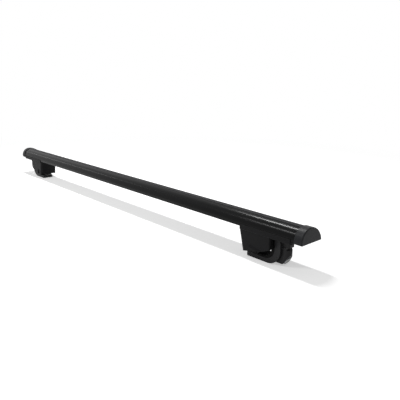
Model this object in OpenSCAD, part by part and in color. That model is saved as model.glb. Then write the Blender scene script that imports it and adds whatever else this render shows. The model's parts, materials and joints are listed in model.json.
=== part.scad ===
// Roof rack crossbar for raised side rails: a hollow aero bar on two clamping feet.
// X runs along the bar, Y to the rear, Z up. The feet stand on Z = 0 and the bar is centred on X = 0.

/* [Crossbar] */
// Length over both end caps
overall_l = 1200; // [900:10:1500]
// Width of the bar's section, front to rear
bar_w = 54; // [50:1:64]
// Height of the bar's section
bar_h = 26.5; // [25:0.5:32]
// How far the highest line lies in front of the middle
apex_forward = 4; // [1:0.5:6]
// Radius of the two lower corners
corner_r = 2; // [1.5:0.25:3]
// Thickness of the extruded walls and webs
wall = 2; // [1.6:0.1:2.4]

/* [Top slot and rubber strip] */
// Width of the mouth of the top slot
mouth_w = 11; // [9:0.5:13]
// Width inside the top slot
channel_w = 17; // [15:0.5:18]
// Height inside the top slot
channel_h = 6.5; // [5:0.5:7]
// Depth from the bar's crown to the inside of the top slot
crown_t = 3.5; // [3:0.25:4.5]
// How far the rubber strip stands proud of the crown
strip_proud = 0.5; // [0:0.1:1.5]

/* [Bottom track] */
// Width of the mouth of the track under the bar
track_mouth = 9; // [8:0.5:11]
// Width inside the track
track_w = 18; // [16:0.5:20]
// Height inside the track
track_h = 6; // [5.5:0.25:7]
// Thickness of the lips on each side of the track's mouth
track_lip = 2.5; // [2:0.25:3]

/* [End caps] */
// Length of the collar that shows beyond the bar
cap_l = 17; // [12:1:24]
// How far the collar stands proud of the bar
cap_proud = 1.5; // [1:0.25:2.5]
// Length of the tongues inside the bar
tongue_l = 22; // [15:1:35]
// Thickness of the tongues and of the cap's wall
cap_wall = 2; // [1.5:0.25:3]

/* [Foot body] */
// Distance from the bar's tip to the face that grips the rail
foot_setback = 71; // [66:1:220]
// Height of the bar's underside above the ground
foot_h = 59; // [57:0.5:64]
// Length of the body inboard of the gripping face
body_l = 80; // [78:1:90]
// Width of the body, front to rear
body_w = 52; // [48:1:54]
// Lean of the inboard end
body_lean = 13; // [6:1:16]
// Radius of the inboard corners
body_r = 7; // [5:1:12]
// Thickness of the flange under the bar
flange_t = 3.5; // [3:0.25:4]
// Length of the flange outboard of the gripping face
flange_l = 48; // [44:1:52]
// Height of the body's toe above the ground
toe_z = 12; // [11:0.5:14]
// How far the gusset on each side stands proud
gusset_t = 2.3; // [1.5:0.1:2.8]
// Thickness of the rubber pad on the gripping face
pad_t = 2; // [1.5:0.25:3]
// Thickness of the gasket between foot and bar
gasket_t = 1.5; // [1:0.1:2]
// Height of the lips that hold the bar's lower edges
lip_h = 5.5; // [3:0.5:7]
// Thickness of those lips
lip_t = 1.2; // [1:0.1:1.5]
// Thickness of the walls and ribs inside the body
rib_t = 3; // [2.5:0.25:4]

/* [Clamp jaw] */
// Fall of the clamp bolt's axis, outboard and down
clamp_angle = 34; // [32:0.5:36]
// Travel of the jaw along the bolt
jaw_travel = 26; // [15:1:26]
// Thickness of the hook's upright leg
leg_t = 12.5; // [11.5:0.5:14]
// Share of the body's width that the hook takes
leg_share = 0.58; // [0.54:0.01:0.62]
// Thickness of the hook's lower leg
foot_t = 8.5; // [7:0.5:9]
// Reach of the lower leg inboard of the gripping face
hook_l = 64.5; // [58:0.5:68]
// Outer radius of the hook's bend
bend_out_r = 29; // [26:0.5:30]
// Inner radius of the hook's bend
bend_in_r = 22; // [20:0.5:24]
// Distance from the gripping face to the hook's leg
leg_gap = 2.7; // [2.5:0.1:3.5]
// Thickness of the rubber liner on the leg, which nests into the body
liner_t = 8; // [6:0.5:9]
// Thickness of the liner on the lower leg
liner_floor = 3; // [1.5:0.25:3]
// Inner radius of the liner's bend
liner_r = 20; // [16:1:21]

/* [Clamp bolt] */
// Nominal diameter of the clamp bolt
bolt_d = 8; // [6:0.5:8.5]
// Diameter of the bolt's head
head_d = 13; // [12:0.25:13.25]
// Height of the bolt's head
head_h = 5.5; // [5:0.25:5.5]
// Width across flats of the socket in the head
socket_af = 6; // [4:0.5:7]
// Length of the bolt under its head
bolt_l = 52; // [50:0.5:53]
// Width across the square nut
nut_w = 13; // [12:0.5:15]
// Thickness of the square nut
nut_t = 6.5; // [5:0.5:7]

/* [Lock] */
// Diameter of the lock's bore, which also admits the bolt's head
lock_bore_d = 14; // [13.75:0.25:14.5]
// Depth of the lock barrel
barrel_l = 8; // [6.5:0.5:8]
// Diameter of the turning plug
plug_d = 9; // [8:0.5:10]
// Width of the housing around the lock
housing_w = 19.6; // [19:0.2:22]
// How far the housing's nose stands out from the hook
nose_out = 14; // [13:0.5:16]
// Height of the housing's top above the ground
housing_top = 37.5; // [36:0.5:38]

/* [Fixing screws] */
// Nominal diameter of the screws that hold the foot to the bar
screw_d = 6; // [5:0.5:6.5]
// Thickness of the steel plate in the track
slot_plate_t = 4; // [3:0.25:4.5]

/* [Hidden] */
$fn = 64;

// Clearances: between seated pieces, round a pin, along a slide, and the overcut of a tool
seat_gap = 0.1;
run_gap = 0.05;
slide_gap = 0.3;
cut = 1;

// Bar: the section's two arcs meet at the crown and run into the lower corners
bar_l = overall_l - 2 * cap_l;
corner_h = bar_h - corner_r;
front_run = bar_w / 2 - corner_r - apex_forward;
rear_run = bar_w / 2 - corner_r + apex_forward;
function arch_r(run) = (run * run + corner_h * corner_h - corner_r * corner_r) / (2 * (corner_h - corner_r));
front_r = arch_r(front_run);
rear_r = arch_r(rear_run);
channel_top = bar_h - crown_t;
channel_floor = channel_top - channel_h;
track_top = track_lip + track_h;

// Foot: measured from the gripping face, outboard positive
foot_x = overall_l / 2 - foot_setback;
body_top = foot_h - gasket_t;
flange_z = body_top - flange_t;
corner_fn = 48;
saddle_step = 4;
gasket_w = bar_w - 6;
grip_z = 29.5;
grip_low = [-18, 23];
mid_low = [-35, 18];
heel_low = [-53, 15];

// Jaw: a hook whose upright leg stands against the gripping face
nest_gap = 1;
leg_w = body_w * leg_share;
leg_x = leg_gap;
liner_x = leg_x - liner_t;
liner_w = leg_w - 2;
nest_w = leg_w + 2 * nest_gap;
leg_out = leg_x + leg_t;
leg_top = flange_z - 4.5;
rib_x = leg_out + 15;
rib_w = 17;
rib_z = housing_top + 0.5;
rib_top = flange_z - 1.5;

// Clamp axis: a frame whose z follows the bolt, with 0 at the lock's face
face = [20.5, 10];
seat_s = -18;
washer_t = 1.6;
head_s = seat_s + washer_t;
bolt_end_s = head_s - bolt_l;
bolt_r = bolt_d / 2;
nut_s = bolt_end_s + jaw_travel + 2;
cam_t = 1.5;
cam_gap = 0.3;
cam_s = -barrel_l - cam_gap - cam_t;
tongue_r = lock_bore_d / 2 + 1;

// Fixing screws, from the gripping face
screw_r = screw_d / 2;
deep_screw_x = -53;
short_screw_x = 7;
deep_seat_z = body_top - 8;

// Housing around the lock
nose_r = housing_w / 2;
nose_x = leg_out + nose_out;
nose_z = 26;
bulge_r = 7.8;
housing_floor = 5;
screw_z = 33.5;
screw_y = 5;
small_r = 1.75;

// Helpers

module along_x(length) {
    rotate([90, 0, 90])
        translate([0, 0, -length / 2])
            linear_extrude(length)
                children();
}

module across_y(width) {
    rotate([90, 0, 0])
        translate([0, 0, -width / 2])
            linear_extrude(width)
                children();
}

// Half of the section's outline, rearward of the crown, set in by a distance all round
module half_outline(arc_r, inset) {
    r = max(corner_r - inset, 0.6);
    low = inset + r;
    inner_r = arc_r - inset;
    centre_z = bar_h - arc_r;
    run = sqrt(pow(inner_r - r, 2) - pow(low - centre_z, 2));
    tangent_z = centre_z + (low - centre_z) * inner_r / (inner_r - r);
    intersection() {
        translate([run, low])
            circle(r);
        translate([0, inset - cut])
            square([bar_w, tangent_z - inset + cut]);
    }
    translate([-cut, inset])
        square([run + cut, tangent_z + seat_gap - inset]);
    intersection() {
        translate([0, centre_z])
            circle(inner_r, $fn = 128);
        translate([0, tangent_z])
            square([bar_w, bar_h]);
    }
}

// The section's outline, set in by a distance all round
module bar_outline(inset = 0) {
    translate([-apex_forward, 0]) {
        half_outline(rear_r, inset);
        mirror([1, 0])
            half_outline(front_r, inset);
    }
}

module centred_square(width, low, high) {
    translate([-width / 2, low])
        square([width, high - low]);
}

module top_slot() {
    translate([-apex_forward, 0]) {
        centred_square(channel_w, channel_floor, channel_top);
        centred_square(mouth_w, channel_top - cut, bar_h + cut);
    }
}

module bottom_track() {
    centred_square(track_w, track_lip, track_top);
    centred_square(track_mouth, -cut, track_lip + cut);
}

module bar_section() {
    difference() {
        bar_outline();
        difference() {
            bar_outline(wall);
            translate([-apex_forward, 0])
                centred_square(channel_w + 2 * wall, channel_floor - wall, bar_h);
            centred_square(track_w + 2 * wall, 0, track_top + wall);
            translate([-apex_forward / 2, 0])
                centred_square(wall, 0, bar_h);
        }
        top_slot();
        bottom_track();
    }
}

// The hollow on each side of the bar's middle web, set in by a distance
module bar_chambers(inset) {
    difference() {
        bar_outline(wall + inset);
        translate([-apex_forward, 0])
            centred_square(channel_w + 2 * (wall + inset), channel_floor - wall - inset, bar_h);
        centred_square(track_w + 2 * (wall + inset), 0, track_top + wall + inset);
        translate([-apex_forward / 2, 0])
            centred_square(wall + 2 * inset, 0, bar_h);
    }
}

// Bar and trim

module bar_extrusion() {
    color("#17181a")
        translate([0, 0, foot_h])
            along_x(bar_l)
                bar_section();
}

module strip_section() {
    stem_w = mouth_w - 2 * seat_gap;
    barb_w = channel_w - 3;
    barb_t = 1.6;
    groove_w = 0.9;
    groove_d = 0.7;
    groove_step = 2.6;
    difference() {
        intersection() {
            bar_outline(-strip_proud);
            translate([-apex_forward, 0])
                centred_square(stem_w, channel_top - barb_t, bar_h + 2 * strip_proud + cut);
        }
        for (i = [-1, 0, 1])
            translate([-apex_forward + i * groove_step, 0])
                centred_square(groove_w, bar_h + strip_proud - groove_d - abs(i) * 0.2, bar_h + 2 * strip_proud + cut);
    }
    translate([-apex_forward, 0])
        centred_square(barb_w, channel_top - barb_t - seat_gap, channel_top - seat_gap);
}

module top_strip() {
    color("#222326")
        translate([0, 0, foot_h])
            along_x(bar_l - 2 * seat_gap)
                strip_section();
}

// What is cut from the collar's outer edge: radius first, then length along the bar
module edge_profile(r, length, edge) {
    lead = 0.3;
    turns = [30, 60, 90];
    first = [r - edge * (1 - cos(turns[0])), length - edge + edge * sin(turns[0])];
    start = [r, length - edge];
    polygon(concat(
        [[r + 4 * cut, start[1] + lead * (start[1] - first[1])], start + lead * (start - first)],
        [for (a = turns) [r - edge * (1 - cos(a)), length - edge + edge * sin(a)]],
        [[r - edge, length + cut], [r + 4 * cut, length + cut]]
    ));
}

// Trims the edge over one arc, rearward of the crown
module arc_edge(arc_r, length, edge) {
    intersection() {
        translate([0, 0, bar_h - arc_r])
            rotate([0, 90, 0])
                rotate_extrude($fn = 128)
                    edge_profile(arc_r + cap_proud, length, edge);
        translate([-cut, 0, -bar_h])
            cube([length + 3 * cut, bar_w, 3 * bar_h]);
    }
}

module collar() {
    edge = 2;
    start = bar_l / 2 + seat_gap;
    length = overall_l / 2 - start;
    difference() {
        translate([start + length / 2, 0, foot_h])
            along_x(length)
                bar_outline(-cap_proud);
        translate([start, -apex_forward, foot_h]) {
            arc_edge(rear_r, length, edge);
            mirror([0, 1, 0])
                arc_edge(front_r, length, edge);
        }
        translate([start, bar_w, foot_h])
            rotate([90, 0, 0])
                linear_extrude(2 * bar_w)
                    mirror([1, -1])
                        mirror([1, 0])
                            edge_profile(cap_proud, length, edge);
    }
}

module end_cap() {
    start = bar_l / 2 + seat_gap;
    fit = 0.3;
    collar();
    difference() {
        translate([start - tongue_l / 2 + cut, 0, foot_h])
            along_x(tongue_l)
                bar_chambers(fit);
        translate([start - tongue_l / 2 - cap_wall, 0, foot_h])
            along_x(tongue_l + 2 * cut)
                bar_chambers(fit + cap_wall);
    }
}

module right_end_cap() {
    color("#2b2c2f")
        end_cap();
}

module left_end_cap() {
    color("#2b2c2f")
        mirror([1, 0, 0])
            end_cap();
}

// Foot, drawn from its gripping face with outboard to the right

module clamp_frame() {
    translate([face[0], 0, face[1]])
        rotate([0, 90 + clamp_angle, 0])
            children();
}

module rounded_plan(x0, x1, width, r0, r1) {
    translate([x0 + r0, -width / 2])
        square([x1 - x0 - r0 - r1, width]);
    translate([x0, -width / 2 + r0])
        square([r0 + cut, width - 2 * r0]);
    translate([x1 - r1 - cut, -width / 2 + r1])
        square([r1 + cut, width - 2 * r1]);
    for (side = [-1, 1]) {
        translate([x0 + r0, side * (width / 2 - r0)])
            circle(r0, $fn = corner_fn);
        translate([x1 - r1, side * (width / 2 - r1)])
            circle(r1, $fn = corner_fn);
    }
}

module bevelled_plan(x0, x1, width, bevel) {
    half = width / 2;
    polygon([
        [x0, bevel - half], [x0 + bevel, -half], [x1 - bevel, -half], [x1, bevel - half],
        [x1, half - bevel], [x1 - bevel, half], [x0 + bevel, half], [x0, half - bevel]
    ]);
}

module body_side() {
    polygon([
        [-body_l - cut, body_top], [-body_l - cut, toe_z], [heel_low[0] - 13, toe_z], heel_low,
        mid_low, grip_low, [-pad_t, grip_z], [-pad_t, body_top]
    ]);
}

module body_block() {
    intersection() {
        across_y(body_w + 2 * gusset_t)
            body_side();
        translate([-body_l, 0, body_top])
            rotate([0, -body_lean, 0])
                translate([0, 0, -foot_h * 1.2])
                    linear_extrude(foot_h * 1.4)
                        rounded_plan(0, body_l * 1.4, body_w, body_r, 1);
    }
}

// A wedge along the body's lower edge, whose ledge falls outwards
module gusset(side) {
    ledge_drop = 5;
    sink = 0.5;
    start = heel_low + [5, 15.5];
    stop = grip_low + [-2, 0.9];
    fall = atan2(start[1] - stop[1], stop[0] - start[0]);
    mirror([0, side > 0 ? 1 : 0, 0])
        difference() {
            translate([0, -body_w / 2 + sink, 0])
                rotate([90, 0, 0])
                    linear_extrude(gusset_t + sink)
                        polygon([heel_low + [0, sink], mid_low + [0, sink], grip_low + [-2, -0.2], stop, start]);
            translate([start[0], -body_w / 2 + sink / 3, start[1]])
                rotate([0, fall, 0])
                    rotate([atan2(ledge_drop, gusset_t), 0, 0])
                        translate([-body_l, -foot_h, 0])
                            cube([2 * body_l, foot_h + 2 * sink, foot_h]);
        }
}

// Pockets cored out of the body from below, with ribs between them
module body_pockets() {
    core_w = nut_w + 2 * rib_t;
    inner = core_w / 2;
    depth = body_w / 2 - rib_t - inner;
    first = -body_l + body_r + rib_t;
    last = liner_x - nest_gap - rib_t;
    count = 3;
    step = (last - first + rib_t) / count;
    for (side = [0, 1])
        mirror([0, side, 0])
            for (i = [0 : count - 1])
                translate([first + i * step, inner, 0])
                    cube([step - rib_t, depth, flange_z]);
}

// The channel that carries the bar: a flange with a lip along each lower edge of the bar
module saddle_section() {
    outer_w = bar_w + 2 * (slide_gap + lip_t);
    round_r = 2;
    base = -gasket_t - flange_t;
    difference() {
        union() {
            intersection() {
                bar_outline(-slide_gap - lip_t);
                centred_square(2 * bar_w, base, lip_h);
            }
            centred_square(outer_w, base + round_r, corner_r);
            centred_square(outer_w - 2 * round_r, base, corner_r);
            for (side = [-1, 1])
                translate([side * (outer_w / 2 - round_r), base + round_r])
                    circle(round_r);
        }
        bar_outline(-slide_gap);
        centred_square(gasket_w + 2 * seat_gap, -gasket_t, corner_r);
    }
}

module saddle() {
    intersection() {
        translate([(flange_l - body_l + saddle_step) / 2, 0, foot_h])
            along_x(flange_l + body_l - saddle_step)
                saddle_section();
        translate([0, 0, flange_z - cut])
            linear_extrude(foot_h)
                bevelled_plan(saddle_step - body_l, flange_l, bar_w + 2 * (slide_gap + lip_t), 2.5);
    }
}

// The bar's section isn't even about its middle, so the saddle is turned round on a foot that is
module foot_body(turned) {
    nut_gap = 0.2;
    difference() {
        union() {
            body_block();
            mirror([0, turned ? 1 : 0, 0])
                saddle();
            gusset(-1);
            gusset(1);
        }
        body_pockets();
        translate([liner_x - nest_gap, -nest_w / 2, -cut])
            cube([foot_h, nest_w, flange_z + cut]);
        clamp_frame() {
            translate([0, 0, bolt_end_s - 2])
                cylinder(h = -bolt_end_s, r = bolt_r + 0.5);
            translate([-nut_w / 2 - nut_gap, -nut_w / 2 - nut_gap, nut_s - nut_t - nut_gap])
                cube([nut_w + foot_h / 2, nut_w + 2 * nut_gap, nut_t + 2 * nut_gap]);
        }
        for (x = [deep_screw_x, short_screw_x])
            translate([x, 0, 0])
                cylinder(h = foot_h, r = screw_r + 0.3);
        translate([deep_screw_x, 0, -cut])
            cylinder(h = deep_seat_z + cut, r = screw_r * 5 / 3 + 0.4);
    }
}

module foot_gasket() {
    difference() {
        translate([0, 0, body_top + seat_gap])
            linear_extrude(gasket_t - 2 * seat_gap)
                rounded_plan(saddle_step + 1 - body_l, flange_l - 1, gasket_w, 2, 2);
        for (x = [deep_screw_x, short_screw_x])
            translate([x, 0, 0])
                cylinder(h = foot_h + cut, r = screw_r + 0.5);
    }
}

module slot_plate() {
    plate_z = foot_h + track_lip + seat_gap;
    end = 9;
    difference() {
        translate([0, 0, plate_z])
            linear_extrude(slot_plate_t)
                rounded_plan(deep_screw_x - end, short_screw_x + end, track_w - 1, 3, 3);
        for (x = [deep_screw_x, short_screw_x])
            translate([x, 0, foot_h])
                cylinder(h = bar_h, r = screw_r + run_gap);
    }
}

module socket_screw(r, under_head, head_height, socket) {
    head_r = r * 5 / 3;
    difference() {
        union() {
            cylinder(h = under_head, r = r);
            translate([0, 0, -head_height])
                cylinder(h = head_height, r = head_r);
        }
        translate([0, 0, -head_height - cut])
            cylinder(h = head_height * 0.6 + cut, r = socket / sqrt(3), $fn = 6);
    }
}

module foot_screws() {
    tip_z = foot_h + track_lip + slot_plate_t + 0.5;
    translate([deep_screw_x, 0, deep_seat_z])
        socket_screw(screw_r, tip_z - deep_seat_z, screw_d, 5);
    translate([short_screw_x, 0, flange_z])
        socket_screw(screw_r, tip_z - flange_z, screw_r, 4);
}

module rail_pads() {
    pad_inner = nest_w / 2 + 0.5;
    pad_outer = body_w / 2 - 0.5;
    pad_low = grip_z + 1.5;
    for (side = [0, 1])
        mirror([0, side, 0])
            translate([-pad_t + seat_gap, pad_inner, pad_low])
                cube([pad_t - seat_gap, pad_outer - pad_inner, flange_z - pad_low - seat_gap]);
}

module captive_nut() {
    clamp_frame()
        translate([0, 0, nut_s - nut_t])
            difference() {
                translate([-nut_w / 2, -nut_w / 2, 0])
                    cube([nut_w, nut_w, nut_t]);
                translate([0, 0, -cut])
                    cylinder(h = nut_t + 2 * cut, r = bolt_r + run_gap);
            }
}

// Everything inside the hook's outer line
module hook_outside(grow = 0) {
    tip_r = 3;
    far = leg_out + grow;
    bend_x = leg_out - bend_out_r;
    translate([-hook_l, tip_r - grow])
        square([hook_l + bend_x, foot_h]);
    translate([-hook_l + tip_r, -grow])
        square([hook_l - tip_r + bend_x, foot_h]);
    translate([-hook_l + tip_r, tip_r])
        circle(tip_r);
    translate([-hook_l, bend_out_r])
        square([hook_l + far, foot_h]);
    translate([bend_x, bend_out_r])
        circle(bend_out_r + grow, $fn = 128);
}

// The rail's room inside the hook, with its own inset at the leg and at the floor
module hook_inside(inset, floor_inset, r) {
    reach = 2 * hook_l;
    bend_x = leg_x - inset - r;
    bend_z = foot_t + floor_inset + r;
    translate([-reach, foot_t + floor_inset])
        square([reach + bend_x, foot_h]);
    translate([-reach, bend_z])
        square([reach + leg_x - inset, foot_h]);
    translate([bend_x, bend_z])
        circle(r, $fn = 128);
}

module hook_profile() {
    round_r = 5;
    difference() {
        intersection() {
            hook_outside();
            union() {
                translate([-hook_l, 0])
                    square([hook_l + leg_out, leg_top - round_r]);
                translate([-hook_l, 0])
                    square([hook_l + leg_out - round_r, leg_top]);
                translate([leg_out - round_r, leg_top - round_r])
                    circle(round_r);
            }
        }
        hook_inside(0, 0, bend_in_r);
    }
}

// What the lock, the bolt's head and the bolt take out of the jaw
module lock_bores() {
    slot_w = 4;
    clamp_frame() {
        translate([0, 0, seat_s])
            cylinder(h = -seat_s + 3 * cut, r = lock_bore_d / 2);
        translate([0, 0, seat_s - leg_t * 2])
            cylinder(h = leg_t * 2 + cut, r = bolt_r + 0.5);
        translate([0, 0, cam_s - cam_gap])
            cylinder(h = cam_t + 2 * cam_gap, r = tongue_r + 0.3);
        translate([-slot_w / 2, -tongue_r, cam_s])
            cube([slot_w, tongue_r, -cam_s + 3 * cut]);
    }
}

module housing_screw_holes(r, depth) {
    for (side = [-1, 1])
        translate([leg_x - cut, side * screw_y, screw_z])
            rotate([0, 90, 0])
                cylinder(h = depth + cut, r = r, $fn = 32);
}

module clamp_jaw() {
    difference() {
        union() {
            across_y(leg_w)
                hook_profile();
            translate([0, 0, rib_z])
                linear_extrude(rib_top - rib_z)
                    rounded_plan(leg_out - 2, rib_x, rib_w, 0.5, 4);
        }
        lock_bores();
        housing_screw_holes(small_r + 0.2, leg_t + 2 * cut);
        housing_screw_holes(small_r * 2, 2.6);
    }
}

module jaw_liner() {
    start = liner_x - liner_r - 14;
    low_top = leg_top - 4;
    difference() {
        across_y(liner_w)
            intersection() {
                difference() {
                    hook_inside(seat_gap, seat_gap, bend_in_r - seat_gap);
                    hook_inside(liner_t, liner_floor, liner_r);
                }
                polygon([[start, 0], [leg_x, 0], [leg_x, leg_top - 0.5], [liner_x, low_top], [start, low_top]]);
            }
        clamp_frame()
            translate([0, 0, seat_s - leg_t * 2])
                cylinder(h = leg_t * 2, r = bolt_r + 1);
    }
}

module housing_profile() {
    square([nose_x - bulge_r, nose_z + bulge_r]);
    square([nose_x, nose_z]);
    square([leg_out + 8, housing_top]);
    translate([nose_x - bulge_r, nose_z])
        circle(bulge_r);
}

module lock_housing() {
    difference() {
        intersection() {
            translate([0, 0, housing_floor])
                linear_extrude(housing_top - housing_floor) {
                    translate([0, -housing_w / 2])
                        square([nose_x - nose_r, housing_w]);
                    translate([nose_x - nose_r, 0])
                        circle(nose_r);
                }
            across_y(housing_w + 2 * cut)
                housing_profile();
            clamp_frame()
                translate([-foot_h, -housing_w, -2 * foot_h])
                    cube([2 * foot_h, 2 * housing_w, 2 * foot_h]);
        }
        across_y(housing_w + 2 * cut)
            hook_outside(seat_gap);
        lock_bores();
        housing_screw_holes(small_r + 0.05, leg_t + 7);
    }
}

module housing_screws() {
    head_h_small = 2.2;
    for (side = [-1, 1])
        translate([leg_x + 2.4, side * screw_y, screw_z])
            rotate([0, 90, 0]) {
                cylinder(h = leg_t + 3.5, r = small_r, $fn = 32);
                difference() {
                    translate([0, 0, -head_h_small])
                        cylinder(h = head_h_small, r = small_r * 2 - 0.2, $fn = 32);
                    for (turn = [0, 90])
                        rotate([0, 0, turn])
                            translate([-1.8, -0.4, -head_h_small - cut])
                                cube([3.6, 0.8, 1.4 + cut]);
                }
            }
}

module clamp_washer() {
    clamp_frame()
        translate([0, 0, seat_s + run_gap])
            difference() {
                cylinder(h = washer_t - 2 * run_gap, r = lock_bore_d / 2 - 0.2);
                translate([0, 0, -cut])
                    cylinder(h = washer_t + 2 * cut, r = bolt_r + 0.2);
            }
}

module clamp_bolt() {
    bevel = 1;
    clamp_frame()
        difference() {
            union() {
                translate([0, 0, head_s])
                    cylinder(h = head_h, r = head_d / 2);
                translate([0, 0, bolt_end_s + bevel])
                    cylinder(h = bolt_l - bevel, r = bolt_r);
                translate([0, 0, bolt_end_s])
                    cylinder(h = bevel, r1 = bolt_r - bevel, r2 = bolt_r);
            }
            translate([0, 0, head_s + head_h * 0.4])
                cylinder(h = head_h, r = socket_af / sqrt(3), $fn = 6);
        }
}

module lock_barrel() {
    rim_t = 1.2;
    clamp_frame()
        difference() {
            union() {
                translate([0, 0, -barrel_l])
                    cylinder(h = barrel_l + run_gap, r = lock_bore_d / 2 - seat_gap);
                translate([0, 0, run_gap])
                    cylinder(h = rim_t, r = lock_bore_d / 2 + 0.6);
            }
            translate([0, 0, -barrel_l - cut])
                cylinder(h = barrel_l + rim_t + 3 * cut, r = plug_d / 2 + run_gap);
        }
}

module lock_plug() {
    key_w = 1.2;
    key_h = plug_d * 0.62;
    top = 0.9;
    clamp_frame()
        difference() {
            translate([0, 0, -barrel_l - cam_gap])
                cylinder(h = barrel_l + cam_gap + top, r = plug_d / 2);
            translate([-key_h / 2, -key_w / 2, -barrel_l * 0.75])
                cube([key_h, key_w, barrel_l * 2]);
        }
}

module lock_cam() {
    tongue_w = 3;
    clamp_frame()
        translate([0, 0, cam_s]) {
            cylinder(h = cam_t - run_gap, r = plug_d / 2);
            intersection() {
                cylinder(h = cam_t - run_gap, r = tongue_r);
                translate([-tongue_r - cut, -tongue_w / 2, 0])
                    cube([tongue_r + cut, tongue_w, cam_t]);
            }
        }
}

// The same foot stands at both ends, turned half a turn on the left

module at_right() {
    translate([foot_x, 0, 0])
        children();
}

module at_left() {
    rotate([0, 0, 180])
        translate([foot_x, 0, 0])
            children();
}

module right_foot_body() {
    color("#262729")
        at_right()
            foot_body(false);
}

module right_foot_gasket() {
    color("#111111")
        at_right()
            foot_gasket();
}

module right_slot_plate() {
    color("#8d9093")
        at_right()
            slot_plate();
}

module right_foot_screws() {
    color("#9a9da0")
        at_right()
            foot_screws();
}

module right_rail_pads() {
    color("#131313")
        at_right()
            rail_pads();
}

module right_captive_nut() {
    color("#a5a8ab")
        at_right()
            captive_nut();
}

module right_clamp_jaw() {
    color("#202123")
        at_right()
            clamp_jaw();
}

module right_jaw_liner() {
    color("#151515")
        at_right()
            jaw_liner();
}

module right_lock_housing() {
    color("#2a2b2d")
        at_right()
            lock_housing();
}

module right_housing_screws() {
    color("#8d9093")
        at_right()
            housing_screws();
}

module right_clamp_washer() {
    color("#a5a8ab")
        at_right()
            clamp_washer();
}

module right_clamp_bolt() {
    color("#b0b3b6")
        at_right()
            clamp_bolt();
}

module right_lock_barrel() {
    color("#c9ccce")
        at_right()
            lock_barrel();
}

module right_lock_plug() {
    color("#b9a05a")
        at_right()
            lock_plug();
}

module right_lock_cam() {
    color("#9a9da0")
        at_right()
            lock_cam();
}

module left_foot_body() {
    color("#262729")
        at_left()
            foot_body(true);
}

module left_foot_gasket() {
    color("#111111")
        at_left()
            foot_gasket();
}

module left_slot_plate() {
    color("#8d9093")
        at_left()
            slot_plate();
}

module left_foot_screws() {
    color("#9a9da0")
        at_left()
            foot_screws();
}

module left_rail_pads() {
    color("#131313")
        at_left()
            rail_pads();
}

module left_captive_nut() {
    color("#a5a8ab")
        at_left()
            captive_nut();
}

module left_clamp_jaw() {
    color("#202123")
        at_left()
            clamp_jaw();
}

module left_jaw_liner() {
    color("#151515")
        at_left()
            jaw_liner();
}

module left_lock_housing() {
    color("#2a2b2d")
        at_left()
            lock_housing();
}

module left_housing_screws() {
    color("#8d9093")
        at_left()
            housing_screws();
}

module left_clamp_washer() {
    color("#a5a8ab")
        at_left()
            clamp_washer();
}

module left_clamp_bolt() {
    color("#b0b3b6")
        at_left()
            clamp_bolt();
}

module left_lock_barrel() {
    color("#c9ccce")
        at_left()
            lock_barrel();
}

module left_lock_plug() {
    color("#b9a05a")
        at_left()
            lock_plug();
}

module left_lock_cam() {
    color("#9a9da0")
        at_left()
            lock_cam();
}

bar_extrusion();
top_strip();
right_end_cap();
left_end_cap();
right_foot_body();
right_foot_gasket();
right_slot_plate();
right_foot_screws();
right_rail_pads();
right_captive_nut();
right_clamp_jaw();
right_jaw_liner();
right_lock_housing();
right_housing_screws();
right_clamp_washer();
right_clamp_bolt();
right_lock_barrel();
right_lock_plug();
right_lock_cam();
left_foot_body();
left_foot_gasket();
left_slot_plate();
left_foot_screws();
left_rail_pads();
left_captive_nut();
left_clamp_jaw();
left_jaw_liner();
left_lock_housing();
left_housing_screws();
left_clamp_washer();
left_clamp_bolt();
left_lock_barrel();
left_lock_plug();
left_lock_cam();
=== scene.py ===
"""Roof rack crossbar: finishes, rubber ribs and a plain studio, laid out as an add-on."""

import json
import math

import bmesh
import bpy
from mathutils import Matrix, Vector


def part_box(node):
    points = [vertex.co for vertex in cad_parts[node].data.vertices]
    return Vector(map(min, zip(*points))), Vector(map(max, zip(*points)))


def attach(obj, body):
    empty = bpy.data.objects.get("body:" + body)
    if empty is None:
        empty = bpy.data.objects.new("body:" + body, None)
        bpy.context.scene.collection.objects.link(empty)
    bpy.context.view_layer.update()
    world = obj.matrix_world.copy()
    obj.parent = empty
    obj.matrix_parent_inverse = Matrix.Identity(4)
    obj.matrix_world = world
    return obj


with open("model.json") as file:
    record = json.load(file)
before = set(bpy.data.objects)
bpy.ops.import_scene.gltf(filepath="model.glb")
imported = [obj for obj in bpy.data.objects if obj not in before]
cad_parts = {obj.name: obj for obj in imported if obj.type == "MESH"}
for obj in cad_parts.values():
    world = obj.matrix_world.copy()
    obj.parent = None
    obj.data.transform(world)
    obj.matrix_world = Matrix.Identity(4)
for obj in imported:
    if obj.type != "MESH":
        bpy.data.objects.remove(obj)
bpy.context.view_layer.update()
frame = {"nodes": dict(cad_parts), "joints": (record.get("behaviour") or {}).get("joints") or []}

bl_info = {
    "name": "Roof Rack Crossbar",
    "version": (1, 0, 0),
    "blender": (4, 5, 0),
    "location": "3D View > Sidebar > Crossbar",
    "description": "Finishes a black crossbar on two clamping feet and sets a studio round it",
    "category": "Object",
}

MM = 0.001
SIDES = ("right", "left")
WHITE = (1.0, 1.0, 1.0, 1.0)

# A Mix node's sockets for mixing colours, by number, because its other kinds share their names
MIX_FACTOR, MIX_A, MIX_B = 0, 6, 7
MIX_RESULT = 2

# Lengths are in metres: the spacing of slow changes of tone, and the radius that softens an edge
CLOUD_SPACING = 40 * MM
EDGE_RADIUS = 0.4 * MM
EDGE_SAMPLES = 6
# Most of a noise lies between these two, and roughness takes its whole spread between them
NOISE_LOW, NOISE_HIGH = 0.3, 0.7
GRAIN_STRENGTH = 0.5
# Cosine of the angle from flat to softened normal, where the paler edge (rubbed wear and painted
# highlight) starts and where it is full
RUB_SHEEN_START, RUB_SHEEN_FULL = 0.995, 0.8
# A paler edge's colour, rubbed wear and painted highlight, is the surface's own, times the first of
# these and plus the second
RUB_SHEEN_GAIN, RUB_SHEEN_LIFT = 3.0, 0.02

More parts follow.
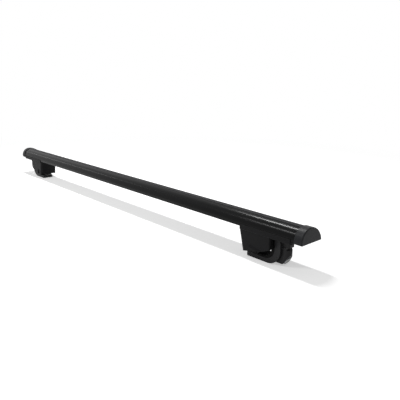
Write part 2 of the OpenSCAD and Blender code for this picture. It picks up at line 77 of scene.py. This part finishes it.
# A wave texture at this scale has one band to each unit of length
BAND_SCALE = math.tau / 20
THREAD_STRENGTH = 0.8
THREAD_DEPTH = 0.3 * MM

RIB_SIDES = 12
# Clear space between the liner's side and the nearest rib
LINER_MARGIN = 3.5 * MM

# Half the floor's width
FLOOR_REACH = 30.0
# How far from its middle the floor starts to go over to plain white, and where it has done so
FADE_START, FADE_END = 0.75, 1.5
# Points that the lamps look at, half way from the bar's middle to either end
RIGHT_HALF = (0.3, 0.0, 0.05)
LEFT_HALF = (-0.3, 0.0, 0.05)
# Width of the camera's sensor in millimetres
SENSOR_WIDTH = 36.0


def srgb(text):
    """A hex colour as linear red, green, blue and alpha."""
    parts = [int(text[i:i + 2], 16) / 255 for i in (1, 3, 5)]
    return [c / 12.92 if c <= 0.04045 else ((c + 0.055) / 1.055) ** 2.4 for c in parts] + [1.0]


def colour(label, about, text):
    """A colour property whose default is given in hex."""
    return bpy.props.FloatVectorProperty(
        name=label, description=about, subtype="COLOR", size=4, min=0.0, max=1.0,
        default=srgb(text)
    )


def length(label, about, millimetres):
    """A length property whose default is given in millimetres."""
    return bpy.props.FloatProperty(
        name=label, description=about, unit="LENGTH", min=0.0, precision=5,
        default=millimetres * MM
    )


def number(label, about, value, unit="NONE", subtype="NONE"):
    """A number property, with the unit or subtype that fits it."""
    return bpy.props.FloatProperty(
        name=label, description=about, min=0.0, default=value, unit=unit, subtype=subtype
    )


def angle(label, about, degrees):
    """An angle property whose default is given in degrees."""
    return bpy.props.FloatProperty(
        name=label, description=about, subtype="ANGLE", default=math.radians(degrees)
    )


class CrossbarFinish(bpy.types.PropertyGroup):
    """Colours and surface grain of the crossbar's materials."""

    coat: colour("Powder coat", "Satin black coat on the aluminium bar", "#060607")
    coat_rough: number("Coat roughness", "Roughness of the coat on the bar", 0.2, subtype="FACTOR")
    strip: colour("Strip rubber", "Extruded rubber in the top slot", "#28282a")
    cap: colour("Cap plastic", "Moulded end caps", "#232426")
    foot: colour("Foot plastic", "Glass-filled nylon of the feet", "#161617")
    hook: colour("Hook paint", "Paint on the cast hooks", "#2a2a2b")
    pad: colour("Pad rubber", "Moulded rubber of pads, liners and gaskets", "#070707")
    zinc: colour("Zinc", "Zinc plating on the fasteners", "#aeb2b6")
    lock: colour("Lock face", "Satin chrome on the lock's barrel", "#85878a")
    plug: colour("Lock plug", "Nickelled plug that takes the key", "#9c9a94")
    peel: length("Coat texture", "Spacing of the coat's fine unevenness", 0.9)
    grain: length("Plastic grain", "Spacing of the moulded grain", 0.7)
    pitch: length("Thread pitch", "Pitch of the clamp bolt's thread", 1.25)


class CrossbarRibs(bpy.types.PropertyGroup):
    """Sizes of the ribs moulded on the rubber that grips the rail."""

    spacing: length("Rib spacing", "Distance between two ribs", 2.6)
    width: length("Rib width", "Width of one rib", 1.2)
    height: length("Rib height", "How far a rib stands proud of the rubber", 0.35)


class CrossbarStage(bpy.types.PropertyGroup):
    """Camera, floor and lamps."""

    azimuth: angle("Azimuth", "Turn of the camera, 0 looks along +Y", 48.54)
    elevation: angle("Elevation", "Camera's height above the horizon", 14.99)
    place: bpy.props.FloatVectorProperty(
        name="Camera place", description="Where the camera stands", subtype="TRANSLATION", size=3,
        default=(1.0450, -0.6494, 0.3393)
    )
    lens: number("Lens", "Focal length in millimetres on a 36 mm sensor", 42.48, unit="CAMERA")
    floor: colour("Floor", "Plain pale floor", "#f4f4f4")
    floor_glow: number("Floor glow", "Share of white that the floor shows of itself", 0.47)
    ambient: number("Ambient", "Strength of the even light from all round", 0.25)
    key_power: number("Key lamp", "Power of the overhead lamp", 18.0, unit="POWER")
    front_power: number("Front lamp", "Power of the front lamp", 5.5, unit="POWER")
    far_power: number("Far lamp", "Power of the lamp beyond the left end", 1.2, unit="POWER")


def add_node(tree, kind, settings=None, links=None, **attributes):
    """Adds a node, sets its attributes and input values, and links its inputs to other sockets."""
    node = tree.nodes.new(kind)
    for name, value in attributes.items():
        setattr(node, name, value)
    for key, value in (settings or {}).items():
        node.inputs[key].default_value = value
    for key, socket in (links or {}).items():
        tree.links.new(socket, node.inputs[key])
    return node


def new_material(name):
    """An empty material and its node tree."""
    material = bpy.data.materials.new(name)
    material.use_nodes = True
    material.node_tree.nodes.clear()
    return material, material.node_tree


def toned(base, gain, lift=0.0):
    """A linear colour times a gain and plus a lift."""
    return [min(c * gain + lift, 1.0) for c in base[:3]] + [1.0]


def surface(name, base, roughness, spacing, spread, depth, tone, ior=1.5, gloss=0.13, metal=False,
            wear_and_sheen=0.0):
    """A surface with fine grain, slow changes of tone, and softened edges.

    Spacing and depth are the grain's, in metres. Roughness varies by spread, and tone is the
    share of its own colour by which the surface gets darker and lighter. Wear and sheen is how far
    its edges go over to a paler colour, which is rubbed wear and also a painted highlight.
    """
    material, tree = new_material(name)
    where = add_node(tree, "ShaderNodeTexCoord")
    grain = add_node(
        tree, "ShaderNodeTexNoise", {"Scale": 1 / spacing, "Detail": 3.0, "Roughness": 0.55},
        {"Vector": where.outputs["Object"]}
    )
    cloud = add_node(
        tree, "ShaderNodeTexNoise", {"Scale": 1 / CLOUD_SPACING, "Detail": 2.0},
        {"Vector": where.outputs["Object"]}
    )
    shade = add_node(
        tree, "ShaderNodeMix", {MIX_A: toned(base, 1 - tone), MIX_B: toned(base, 1 + tone)},
        {MIX_FACTOR: cloud.outputs["Fac"]}, data_type="RGBA"
    )
    rough = add_node(
        tree, "ShaderNodeMapRange",
        {
            "From Min": NOISE_LOW, "From Max": NOISE_HIGH,
            "To Min": roughness - spread / 2, "To Max": roughness + spread / 2
        },
        {"Value": grain.outputs["Fac"]}
    )
    rounded = add_node(tree, "ShaderNodeBevel", {"Radius": EDGE_RADIUS}, samples=EDGE_SAMPLES)
    # Edges go over to a paler colour, which stands for rubbed wear and is also a painted highlight
    if wear_and_sheen:
        flat = add_node(tree, "ShaderNodeNewGeometry")
        turn = add_node(
            tree, "ShaderNodeVectorMath",
            links={0: rounded.outputs["Normal"], 1: flat.outputs["Normal"]},
            operation="DOT_PRODUCT"
        )
        rub_and_sheen = add_node(
            tree, "ShaderNodeMapRange",
            {"From Min": RUB_SHEEN_START, "From Max": RUB_SHEEN_FULL, "To Min": 0.0, "To Max": wear_and_sheen},
            {"Value": turn.outputs["Value"]}
        )
        shade = add_node(
            tree, "ShaderNodeMix", {MIX_B: toned(base, RUB_SHEEN_GAIN, RUB_SHEEN_LIFT)},
            {MIX_FACTOR: rub_and_sheen.outputs["Result"], MIX_A: shade.outputs[MIX_RESULT]},
            data_type="RGBA"
        )
    bump = add_node(
        tree, "ShaderNodeBump", {"Strength": GRAIN_STRENGTH, "Distance": depth},
        {"Height": grain.outputs["Fac"], "Normal": rounded.outputs["Normal"]}
    )
    # A metal keeps the shader's own IOR and specular level
    settings = {"Metallic": 1.0} if metal else {"IOR": ior, "Specular IOR Level": gloss}
    shader = add_node(
        tree, "ShaderNodeBsdfPrincipled", settings,
        {
            "Base Color": shade.outputs[MIX_RESULT], "Roughness": rough.outputs["Result"],
            "Normal": bump.outputs["Normal"]
        }
    )
    add_node(tree, "ShaderNodeOutputMaterial", links={"Surface": shader.outputs["BSDF"]})
    return material


def powder_coated_aluminium(finish):
    """Baked powder coat on extruded aluminium."""
    # The eye gets long soft stripes of light along the bar, a hair uneven from the coat's
    # orange peel.
    return surface(
        "powder_coated_aluminium", finish.coat, roughness=finish.coat_rough, spacing=finish.peel,
        spread=0.03, depth=0.0012 * MM, tone=0.06, gloss=0.1
    )


def extruded_rubber(finish):
    """Extruded rubber of the strip in the top slot."""
    # The eye gets a dull grey line between the coat's two glossy flanks, with its grooves as
    # darker threads.
    return surface(
        "extruded_rubber", finish.strip, roughness=0.55, spacing=0.8 * MM, spread=0.1,
        depth=0.02 * MM, tone=0.1, ior=1.52, gloss=0.15
    )


def moulded_cap_plastic(finish):
    """Injection-moulded cap with a spark-eroded grain."""
    # The eye gets a grey speckle that sets the cap off from the smooth bar, and a paler rim that is
    # rubbed wear and a painted highlight.
    # The grain is drawn coarser than the real 0.2 mm, which would be lost at this distance.
    return surface(
        "moulded_cap_plastic", finish.cap, roughness=0.42, spacing=finish.grain, spread=0.2,
        depth=0.06 * MM, tone=0.16, ior=1.54, gloss=0.11, wear_and_sheen=0.3
    )


def glass_filled_nylon(finish):
    """Moulded glass-filled nylon of the foot's body."""
    # The eye gets a near black, matt plate that holds no clear reflection, with thin pale edges
    # that are rubbed wear and a painted highlight. Its grain is drawn as coarse as the cap's.
    return surface(
        "glass_filled_nylon", finish.foot, roughness=0.5, spacing=finish.grain, spread=0.12,
        depth=0.04 * MM, tone=0.12, ior=1.53, gloss=0.07, wear_and_sheen=0.5
    )


def painted_casting(finish):
    """Black paint over the cast hook and the housing round its lock."""
    # The eye gets a slightly wavy satin black, smoother than the foot's body, with soft lights on
    # its edges from their rounding, and paler edges that are rubbed paint and a painted highlight.
    return surface(
        "painted_casting", finish.hook, roughness=0.42, spacing=1.4 * MM, spread=0.1,
        depth=0.03 * MM, tone=0.1, gloss=0.12, wear_and_sheen=0.6
    )


def moulded_rubber(finish):
    """Moulded rubber of pads, liners and gaskets."""
    # The eye gets the darkest and dullest surface of all, which outlines the pieces that it
    # lies between.
    return surface(
        "moulded_rubber", finish.pad, roughness=0.8, spacing=1.0 * MM, spread=0.1,
        depth=0.03 * MM, tone=0.1, ior=1.52
    )


def zinc_plated_steel(finish):
    """Zinc plating on steel fasteners."""
    # The eye gets a light, slightly clouded grey metal deep in the holes, clearly not part of
    # the black foot.
    return surface(
        "zinc_plated_steel", finish.zinc, roughness=0.36, spacing=1.6 * MM, spread=0.16,
        depth=0.01 * MM, tone=0.14, metal=True
    )


def satin_chrome(finish):
    """Satin chrome on the lock's barrel."""
    # The eye gets the one bright spot on the foot, a soft silver ring.
    return surface(
        "satin_chrome", finish.lock, roughness=0.28, spacing=0.5 * MM, spread=0.1,
        depth=0.004 * MM, tone=0.06, metal=True
    )


def nickelled_brass(finish):
    """Nickelled brass of the lock's turning plug."""
    # The eye gets a disc a little warmer and duller than the ring round it, with the keyway
    # as a dark line.
    return surface(
        "nickelled_brass", finish.plug, roughness=0.34, spacing=0.6 * MM, spread=0.12,
        depth=0.006 * MM, tone=0.1, metal=True
    )


def threaded_steel(finish):
    """Zinc on the clamp bolt, with its thread drawn as rings."""
    # The eye gets even rings at the thread's real pitch, square to the bolt's own slanted axis.
    material = surface(
        "threaded_steel", finish.zinc, roughness=0.34, spacing=1.6 * MM, spread=0.14,
        depth=0.01 * MM, tone=0.12, metal=True
    )
    tree = material.node_tree
    axis = next(j["axis"] for j in frame["joints"] if j["name"] == "right_bolt_turn")
    fall = math.atan2(-axis[2], axis[0])
    where = add_node(tree, "ShaderNodeTexCoord")
    # The left bolt is the right one turned half a turn, so the distance from the bar's middle
    # serves both.
    outward = add_node(
        tree, "ShaderNodeVectorMath", links={0: where.outputs["Object"]}, operation="ABSOLUTE"
    )
    turned = add_node(
        tree, "ShaderNodeMapping",
        {"Rotation": (0.0, -fall, 0.0), "Scale": (1 / finish.pitch,) * 3},
        {"Vector": outward.outputs["Vector"]}
    )
    rings = add_node(
        tree, "ShaderNodeTexWave", {"Scale": BAND_SCALE}, {"Vector": turned.outputs["Vector"]},
        wave_type="BANDS", bands_direction="X"
    )
    shader = next(n for n in tree.nodes if n.type == "BSDF_PRINCIPLED")
    grain = next(n for n in tree.nodes if n.type == "BUMP")
    thread = add_node(
        tree, "ShaderNodeBump", {"Strength": THREAD_STRENGTH, "Distance": THREAD_DEPTH},
        {"Height": rings.outputs["Fac"], "Normal": grain.outputs["Normal"]}
    )
    tree.links.new(thread.outputs["Normal"], shader.inputs["Normal"])
    return material


def own_material(context, make):
    """The material that goes by the name of the function that makes it, made only once."""
    return bpy.data.materials.get(make.__name__) or make(context.scene.crossbar_finish)


def dress(context, names, make):
    """Gives CAD nodes a material in every slot."""
    material = own_material(context, make)
    for name in names:
        mesh = frame["nodes"][name].data
        mesh.materials.clear()
        mesh.materials.append(material)


def both(*parts):
    """The node names of some parts on both feet."""
    return [f"{side}_{part}" for part in parts for side in SIDES]


class CROSSBAR_OT_bar(bpy.types.Operator):
    """Finish the extruded bar and the rubber strip in its top slot"""

    bl_idname = "crossbar.bar"
    bl_label = "Bar and Strip"

    def execute(self, context):
        dress(context, ["bar_extrusion"], powder_coated_aluminium)
        dress(context, ["top_strip"], extruded_rubber)
        return {"FINISHED"}


class CROSSBAR_OT_caps(bpy.types.Operator):
    """Finish the two end caps"""

    bl_idname = "crossbar.caps"
    bl_label = "End Caps"

    def execute(self, context):
        dress(context, both("end_cap"), moulded_cap_plastic)
        return {"FINISHED"}


class CROSSBAR_OT_feet(bpy.types.Operator):
    """Finish the foot bodies and the rubber on them"""

    bl_idname = "crossbar.feet"
    bl_label = "Feet"

    def execute(self, context):
        dress(context, both("foot_body"), glass_filled_nylon)
        dress(context, both("foot_gasket", "rail_pads", "jaw_liner"), moulded_rubber)
        return {"FINISHED"}


class CROSSBAR_OT_hooks(bpy.types.Operator):
    """Finish the two clamping hooks and the housings on them"""

    bl_idname = "crossbar.hooks"
    bl_label = "Hooks"

    def execute(self, context):
        dress(context, both("clamp_jaw", "lock_housing"), painted_casting)
        return {"FINISHED"}


class CROSSBAR_OT_fasteners(bpy.types.Operator):
    """Finish screws, nuts, washers, plates, cams and clamp bolts"""

    bl_idname = "crossbar.fasteners"
    bl_label = "Fasteners"

    def execute(self, context):
        plain = both(
            "slot_plate", "foot_screws", "captive_nut", "housing_screws", "clamp_washer", "lock_cam"
        )
        dress(context, plain, zinc_plated_steel)
        dress(context, both("clamp_bolt"), threaded_steel)
        return {"FINISHED"}


class CROSSBAR_OT_locks(bpy.types.Operator):
    """Finish the lock barrels and their plugs"""

    bl_idname = "crossbar.locks"
    bl_label = "Locks"

    def execute(self, context):
        dress(context, both("lock_barrel"), satin_chrome)
        dress(context, both("lock_plug"), nickelled_brass)
        return {"FINISHED"}


def rib_tree(material):
    """Geometry nodes that set a row of half-sunk round ribs between two points."""
    tree = bpy.data.node_groups.new("rubber_rib_row", "GeometryNodeTree")
    tree.interface.new_socket("Geometry", in_out="OUTPUT", socket_type="NodeSocketGeometry")
    for name, kind in (
        ("Start", "NodeSocketVector"), ("End", "NodeSocketVector"), ("Count", "NodeSocketInt"),
        ("Rib Length", "NodeSocketFloat"), ("Rib Width", "NodeSocketFloat"),
        ("Rib Height", "NodeSocketFloat"),
    ):
        tree.interface.new_socket(name, in_out="INPUT", socket_type=kind)
    given = add_node(tree, "NodeGroupInput").outputs
    row = add_node(
        tree, "GeometryNodeMeshLine",
        links={
            "Count": given["Count"], "Start Location": given["Start"], "Offset": given["End"]
        },
        mode="END_POINTS"
    )
    rib = add_node(
        tree, "GeometryNodeMeshCylinder", {"Vertices": RIB_SIDES, "Radius": 0.5, "Depth": 1.0}
    )
    size = add_node(
        tree, "ShaderNodeCombineXYZ",
        links={"X": given["Rib Height"], "Y": given["Rib Width"], "Z": given["Rib Length"]}
    )
    # A rib is sunk by half, so it is twice as thick as it stands proud.
    doubled = add_node(
        tree, "ShaderNodeVectorMath", {1: (2.0, 1.0, 1.0)}, {0: size.outputs["Vector"]},
        operation="MULTIPLY"
    )
    sized = add_node(
        tree, "GeometryNodeTransform",
        links={"Geometry": rib.outputs["Mesh"], "Scale": doubled.outputs["Vector"]}
    )
    laid = add_node(
        tree, "GeometryNodeInstanceOnPoints",
        links={"Points": row.outputs["Mesh"], "Instance": sized.outputs["Geometry"]}
    )
    real = add_node(
        tree, "GeometryNodeRealizeInstances", links={"Geometry": laid.outputs["Instances"]}
    )
    painted = add_node(
        tree, "GeometryNodeSetMaterial", {"Material": material},
        {"Geometry": real.outputs["Geometry"]}
    )
    add_node(tree, "NodeGroupOutput", links={"Geometry": painted.outputs["Geometry"]})
    return tree


def grown_mesh(name, tree, values):
    """Runs a geometry tree with the given inputs and returns its result as a plain mesh."""
    maker = bpy.data.objects.new(name + "_maker", bpy.data.meshes.new(name + "_maker"))
    bpy.context.scene.collection.objects.link(maker)
    modifier = maker.modifiers.new("ribs", "NODES")
    modifier.node_group = tree
    sockets = {s.name: s.identifier for s in tree.interface.items_tree if s.in_out == "INPUT"}
    for key, value in values.items():
        modifier[sockets[key]] = value
    depsgraph = bpy.context.evaluated_depsgraph_get()
    mesh = bpy.data.meshes.new_from_object(maker.evaluated_get(depsgraph), depsgraph=depsgraph)
    maker.modifiers.remove(modifier)
    bpy.data.objects.remove(maker)
    if not mesh.polygons:
        raise RuntimeError(f"{name} came out empty")
    mesh.name = name
    return mesh


def joined(name, meshes, material):
    """One object of one material from several meshes."""
    form = bmesh.new()
    for mesh in meshes:
        form.from_mesh(mesh)
    whole = bpy.data.meshes.new(name)
    form.to_mesh(whole)
    form.free()
    whole.materials.append(material)
    for face in whole.polygons:
        face.material_index = 0
    for mesh in meshes:
        bpy.data.meshes.remove(mesh)
    piece = bpy.data.objects.new(name, whole)
    bpy.context.scene.collection.objects.link(piece)
    return piece


class CROSSBAR_OT_ribs(bpy.types.Operator):
    """Add the upright ribs on the rail pads"""

    bl_idname = "crossbar.ribs"
    bl_label = "Pad Ribs"

    def execute(self, context):
        ribs = context.scene.crossbar_ribs
        rubber = own_material(context, moulded_rubber)
        tree = rib_tree(rubber)
        liner_low, liner_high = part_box("right_jaw_liner")
        first = max(liner_high[1], -liner_low[1]) + LINER_MARGIN
        for side, way in (("right", 1), ("left", -1)):
            low, high = (Vector(corner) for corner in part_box(f"{side}_rail_pads"))
            face = high.x if way > 0 else low.x
            last = high.y - ribs.width
            middle = (low.z + high.z) / 2
            sizes = {
                "Count": max(2, int((last - first) / ribs.spacing) + 1),
                "Rib Length": high.z - low.z - 2 * ribs.width,
                "Rib Width": ribs.width,
                "Rib Height": ribs.height,
            }
            rows = [
                grown_mesh(f"{side}_pad_row", tree, {
                    "Start": (face, hand * first, middle), "End": (face, hand * last, middle),
                    **sizes
                })
                for hand in (1, -1)
            ]
            piece = joined(f"{side}_pad_ribs", rows, rubber)
            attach(piece, f"{side}_foot")
        return {"FINISHED"}


def stance(place, across, back):
    """The matrix that stands a lamp or camera at a place, by its right-hand side and its back."""
    up = back.cross(across)
    return Matrix.Translation(place) @ Matrix((across, up, back)).transposed().to_4x4()


def lamp(name, place, target, size, power):
    """A rectangular lamp that looks at a point, with its first side along the bar."""
    data = bpy.data.lights.new(name, "AREA")
    data.shape = "RECTANGLE"
    data.size, data.size_y = size
    data.energy = power
    light = bpy.data.objects.new(name, data)
    bpy.context.scene.collection.objects.link(light)
    back = (Vector(place) - Vector(target)).normalized()
    along = Vector((1.0, 0.0, 0.0))
    across = (along - back * along.dot(back)).normalized()
    light.matrix_world = stance(place, across, back)


def camera(stage):
    """The camera at its place, turned by azimuth and elevation."""
    data = bpy.data.cameras.new("camera")
    data.sensor_width = SENSOR_WIDTH
    data.lens = stage.lens
    view = bpy.data.objects.new("camera", data)
    bpy.context.scene.collection.objects.link(view)
    turn, rise = stage.azimuth, stage.elevation
    flat = math.cos(rise)
    back = Vector((math.sin(turn) * flat, -math.cos(turn) * flat, math.sin(rise)))
    across = (-back).cross(Vector((0.0, 0.0, 1.0))).normalized()
    view.matrix_world = stance(stage.place, across, back)
    return view


def seen(tree):
    """A socket that is 1 where a thing is seen or mirrored, and 0 where it only gives light."""
    rays = add_node(tree, "ShaderNodeLightPath").outputs
    shown = add_node(
        tree, "ShaderNodeMath", links={0: rays["Is Camera Ray"], 1: rays["Is Glossy Ray"]},
        operation="MAXIMUM"
    )
    return add_node(
        tree, "ShaderNodeMath", links={0: shown.outputs[0], 1: rays["Is Transmission Ray"]},
        operation="MAXIMUM"
    ).outputs[0]


def pale_floor(stage):
    """Pale floor: it takes the object's shadow, and the rest of it reads as white."""
    material, tree = new_material("pale_floor")
    where = add_node(tree, "ShaderNodeTexCoord")
    reach = add_node(
        tree, "ShaderNodeVectorMath", links={0: where.outputs["Object"]}, operation="LENGTH"
    )
    far = add_node(
        tree, "ShaderNodeMapRange", {"From Min": FADE_START, "From Max": FADE_END},
        {"Value": reach.outputs["Value"]}, interpolation_type="SMOOTHSTEP"
    )
    lit = add_node(tree, "ShaderNodeBsdfDiffuse", {"Color": stage.floor})
    glow = add_node(tree, "ShaderNodeEmission", {"Color": WHITE, "Strength": stage.floor_glow})
    near = add_node(tree, "ShaderNodeAddShader", links={0: lit.outputs[0], 1: glow.outputs[0]})
    white = add_node(tree, "ShaderNodeEmission", {"Color": WHITE, "Strength": 1.0})
    shown = add_node(
        tree, "ShaderNodeMixShader",
        links={0: far.outputs["Result"], 1: near.outputs[0], 2: white.outputs[0]}
    )
    final = add_node(
        tree, "ShaderNodeMixShader", links={0: seen(tree), 1: lit.outputs[0], 2: shown.outputs[0]}
    )
    add_node(tree, "ShaderNodeOutputMaterial", links={"Surface": final.outputs[0]})
    return material


def floor_piece(stage):
    """The floor that the feet stand on."""
    mesh = bpy.data.meshes.new("floor")
    signs = ((-1, -1), (1, -1), (1, 1), (-1, 1))
    corners = [(x * FLOOR_REACH, y * FLOOR_REACH, 0.0) for x, y in signs]
    mesh.from_pydata(corners, [], [(0, 1, 2, 3)])
    mesh.materials.append(pale_floor(stage))
    piece = bpy.data.objects.new("floor", mesh)
    bpy.context.scene.collection.objects.link(piece)
    return piece


def white_world(stage):
    """Even light from all round, and white wherever it is seen or mirrored."""
    world = bpy.data.worlds.new("studio")
    world.use_nodes = True
    tree = world.node_tree
    tree.nodes.clear()
    strength = add_node(
        tree, "ShaderNodeMapRange", {"To Min": stage.ambient, "To Max": 1.0}, {"Value": seen(tree)}
    )
    back = add_node(
        tree, "ShaderNodeBackground", {"Color": WHITE}, {"Strength": strength.outputs["Result"]}
    )
    add_node(tree, "ShaderNodeOutputWorld", links={"Surface": back.outputs[0]})
    return world


class CROSSBAR_OT_stage(bpy.types.Operator):
    """Add the floor, the lamps and the camera"""

    bl_idname = "crossbar.stage"
    bl_label = "Stage"

    def execute(self, context):
        stage = context.scene.crossbar_stage
        scene = context.scene
        floor = floor_piece(stage)
        lamp(
            "key_lamp", place=(-0.3, 0.08, 1.5), target=RIGHT_HALF, size=(0.6, 0.13),
            power=stage.key_power
        )
        lamp(
            "front_lamp", place=(-0.32, -1.03, 1.12), target=RIGHT_HALF, size=(0.55, 0.12),
            power=stage.front_power
        )
        lamp(
            "far_lamp", place=(-2.8, -0.8, 1.25), target=LEFT_HALF, size=(1.0, 0.1),
            power=stage.far_power
        )
        scene.world = white_world(stage)
        scene.view_settings.view_transform = "Standard"
        scene.camera = camera(stage)
        return {"FINISHED"}


STEPS = (
    CROSSBAR_OT_bar, CROSSBAR_OT_caps, CROSSBAR_OT_feet, CROSSBAR_OT_hooks, CROSSBAR_OT_fasteners,
    CROSSBAR_OT_locks, CROSSBAR_OT_ribs, CROSSBAR_OT_stage,
)


class CROSSBAR_PT_panel(bpy.types.Panel):
    """Lists the crossbar's steps and settings in the sidebar"""

    bl_label = "Roof Rack Crossbar"
    bl_space_type = "VIEW_3D"
    bl_region_type = "UI"
    bl_category = "Crossbar"

    def draw(self, context):
        scene = context.scene
        for step in STEPS:
            self.layout.operator(step.bl_idname)
        for group in (scene.crossbar_finish, scene.crossbar_ribs, scene.crossbar_stage):
            box = self.layout.box()
            for name in group.__annotations__:
                box.prop(group, name)


CLASSES = (CrossbarFinish, CrossbarRibs, CrossbarStage) + STEPS + (CROSSBAR_PT_panel,)


def register():
    """Registers the classes and hangs their settings on the scene."""
    for cls in CLASSES:
        bpy.utils.register_class(cls)
    bpy.types.Scene.crossbar_finish = bpy.props.PointerProperty(type=CrossbarFinish)
    bpy.types.Scene.crossbar_ribs = bpy.props.PointerProperty(type=CrossbarRibs)
    bpy.types.Scene.crossbar_stage = bpy.props.PointerProperty(type=CrossbarStage)


def unregister():
    """Takes the settings off the scene and the classes out again."""
    del bpy.types.Scene.crossbar_stage
    del bpy.types.Scene.crossbar_ribs
    del bpy.types.Scene.crossbar_finish
    for cls in reversed(CLASSES):
        bpy.utils.unregister_class(cls)


def main():
    """Makes everything in order."""
    register()
    bpy.ops.crossbar.bar()
    bpy.ops.crossbar.caps()
    bpy.ops.crossbar.feet()
    bpy.ops.crossbar.hooks()
    bpy.ops.crossbar.fasteners()
    bpy.ops.crossbar.locks()
    bpy.ops.crossbar.ribs()
    bpy.ops.crossbar.stage()


if __name__ == "__main__":
    main()
